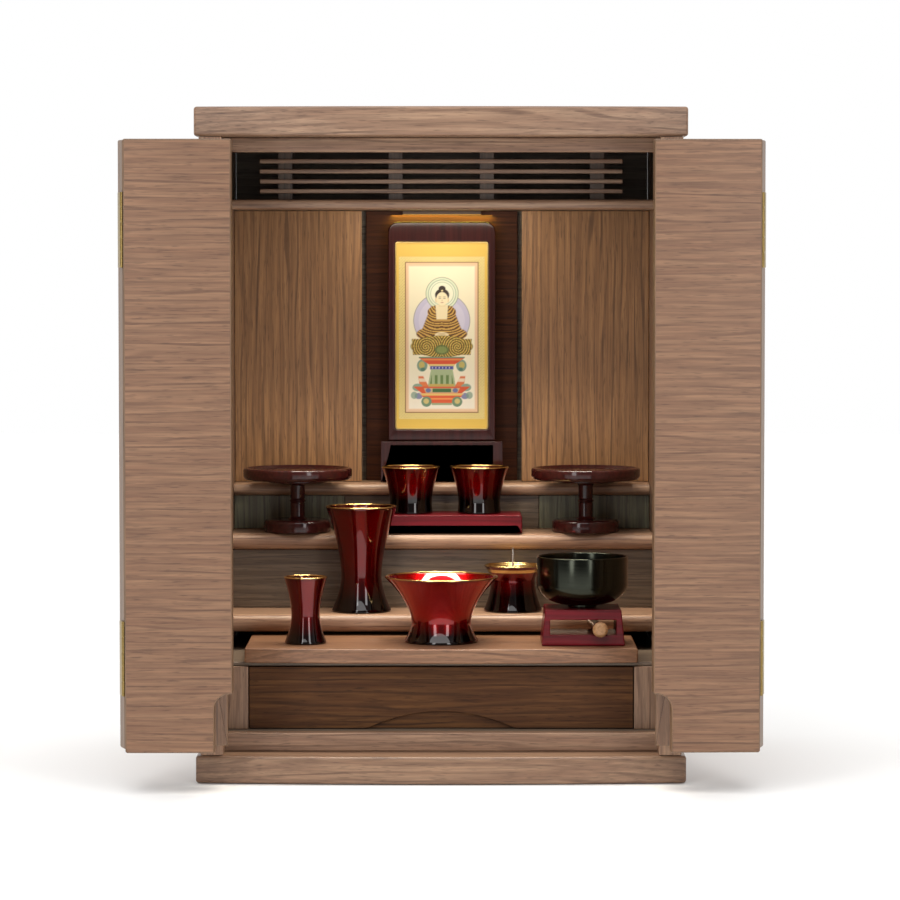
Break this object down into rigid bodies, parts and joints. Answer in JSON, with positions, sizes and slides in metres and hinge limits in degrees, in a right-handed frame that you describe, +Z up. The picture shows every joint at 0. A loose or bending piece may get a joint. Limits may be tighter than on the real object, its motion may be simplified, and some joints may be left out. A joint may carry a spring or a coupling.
{
  "type": "household altar cabinet",
  "caption": "Bow-fronted tabletop altar cabinet with bi-fold doors, a stepped interior with a lit picture niche, a pull-out tray, a drawer and lacquered implements.",
  "frame": {"origin": "centre of the base board's underside, midway between its back edge and the ends of its bow front", "axes": "+Z up, -Y towards the front that the doors open to, +X to the right of someone who faces the front"},
  "size_m": [0.5191, 0.3879, 0.55],
  "materials": {
    "veneer": "open-grained taupe veneer, satin",
    "pale_veneer": "upright-grained veneer, satin",
    "grey_veneer": "grey-brown veneer, satin",
    "red_wood": "dark red-brown veneer",
    "striker_wood": "turned hardwood, oiled",
    "mahogany_lacquer": "dark mahogany lacquer, gloss",
    "red_lacquer": "deep red lacquer, gloss",
    "vessel_lacquer": "red to black lacquer with a gilt rim, gloss",
    "bell_bronze": "dark bronze, burnished",
    "hinge_brass": "antiqued brass",
    "spike_steel": "plain",
    "lamp_lens": "warm lamp lens",
    "picture_paper": "painted picture in a gold brocade mount"
  },
  "bodies": {
    "cabinet": {"top_board": "veneer", "base_board": "veneer", "side_panel_left": "veneer", "side_panel_right": "veneer", "fascia_rail": "veneer", "bottom_rail": "veneer", "transom_rail": "veneer", "transom_lattice": "veneer", "shelf_upper": "veneer", "shelf_middle": "veneer", "shelf_lower": "veneer", "drawer_stile_left": "veneer", "drawer_stile_right": "veneer", "wing_panel_left": "pale_veneer", "wing_panel_right": "pale_veneer", "riser_upper_left": "pale_veneer", "riser_upper_right": "pale_veneer", "back_panel": "grey_veneer", "floor_board": "grey_veneer", "inner_ceiling": "grey_veneer", "riser_upper_centre": "grey_veneer", "riser_middle": "grey_veneer", "tray_bed": "grey_veneer", "niche_back": "red_wood", "picture_frame": "mahogany_lacquer", "picture_stand": "mahogany_lacquer", "offering_stand_left": "mahogany_lacquer", "offering_stand_right": "mahogany_lacquer", "cup_table": "red_lacquer", "flower_vase": "vessel_lacquer", "cup_left": "vessel_lacquer", "cup_right": "vessel_lacquer", "candle_stand": "vessel_lacquer", "hinge_left_side_upper": "hinge_brass", "hinge_left_side_lower": "hinge_brass", "hinge_right_side_upper": "hinge_brass", "hinge_right_side_lower": "hinge_brass", "candle_spike": "spike_steel", "niche_lamp": "lamp_lens", "picture_board": "picture_paper"},
    "left_door": {"door_leaf_left_outer": "veneer", "hinge_left_seam_upper": "hinge_brass", "hinge_left_seam_lower": "hinge_brass"},
    "left_fold": {"door_leaf_left_inner": "veneer"},
    "right_door": {"door_leaf_right_outer": "veneer", "hinge_right_seam_upper": "hinge_brass", "hinge_right_seam_lower": "hinge_brass"},
    "right_fold": {"door_leaf_right_inner": "veneer"},
    "tray": {"sliding_tray": "veneer", "incense_vase": "vessel_lacquer", "incense_bowl": "vessel_lacquer", "bell_stand": "red_lacquer", "bell": "bell_bronze", "bell_striker": "striker_wood"},
    "drawer": {"drawer_front": "veneer", "drawer_box": "pale_veneer"}
  },
  "joints": [
    {"name": "left_door_swing", "type": "hinge", "parent": "cabinet", "child": "left_door", "pos_m": [-0.177, -0.1625, 0], "axis": [0, 0, -1], "range_deg": [-161.5, 0]},
    {"name": "left_leaf_fold", "type": "hinge", "parent": "left_door", "child": "left_fold", "pos_m": [-0.25395, -0.20986, 0], "axis": [0, 0, 1], "range_deg": [-161.51, 0]},
    {"name": "right_door_swing", "type": "hinge", "parent": "cabinet", "child": "right_door", "pos_m": [0.177, -0.1625, 0], "axis": [0, 0, 1], "range_deg": [-165, 0]},
    {"name": "right_leaf_fold", "type": "hinge", "parent": "right_door", "child": "right_fold", "pos_m": [0.2567, -0.20508, 0], "axis": [0, 0, -1], "range_deg": [-163.01, 0]},
    {"name": "tray_slide", "type": "slide", "parent": "cabinet", "child": "tray", "axis": [0, -1, 0], "range_m": [-0.01, 0.014]},
    {"name": "drawer_slide", "type": "slide", "parent": "cabinet", "child": "drawer", "axis": [0, -1, 0], "range_m": [0, 0.028]}
  ],
  "couplings": [
    {"joint": "left_leaf_fold", "follows": "left_door_swing", "ratio": 1},
    {"joint": "right_leaf_fold", "follows": "right_door_swing", "ratio": 0.98788}
  ]
}
